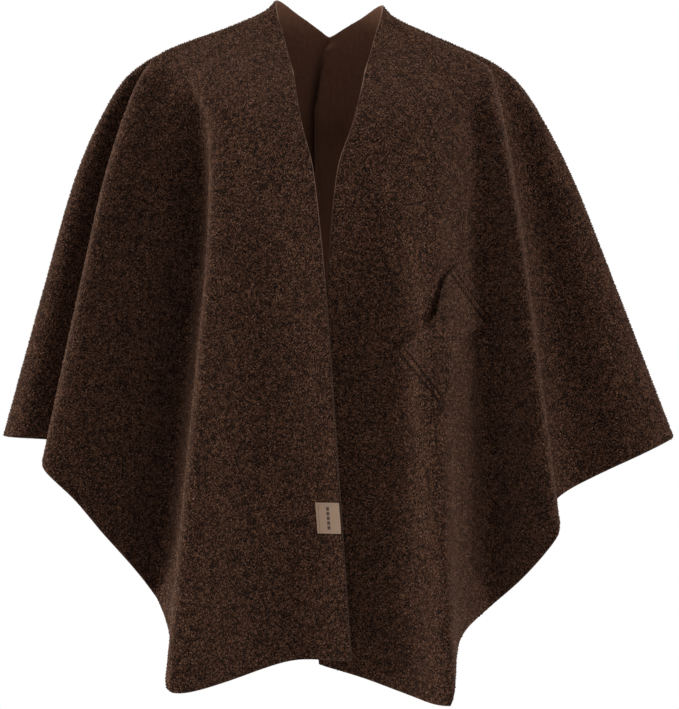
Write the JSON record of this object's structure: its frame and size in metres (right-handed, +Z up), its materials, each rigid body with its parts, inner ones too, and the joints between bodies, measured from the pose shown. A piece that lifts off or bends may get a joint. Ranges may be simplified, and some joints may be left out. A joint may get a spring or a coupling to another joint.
{
  "type": "wrap cardigan, a cape-shaped wrap worn open",
  "caption": "Cape-shaped wrap cardigan in thick curly cloth, open down the front, with a tuck-through band on the chest.",
  "frame": {"origin": "middle of the neck opening at the height of the wearer's shoulders, where the garment is held up", "axes": "+Z up, +X towards the wearer's left, the front faces -Y"},
  "size_m": [0.8049, 0.3911, 0.8217],
  "materials": {
    "boucle": "curly boucle pile outside, smooth brushed reverse inside",
    "woven_label": "flat woven tape"
  },
  "bodies": {
    "root": {"right_panel": "boucle", "left_panel": "boucle", "tuck_band": "boucle", "label": "woven_label"}
  },
  "joints": []
}
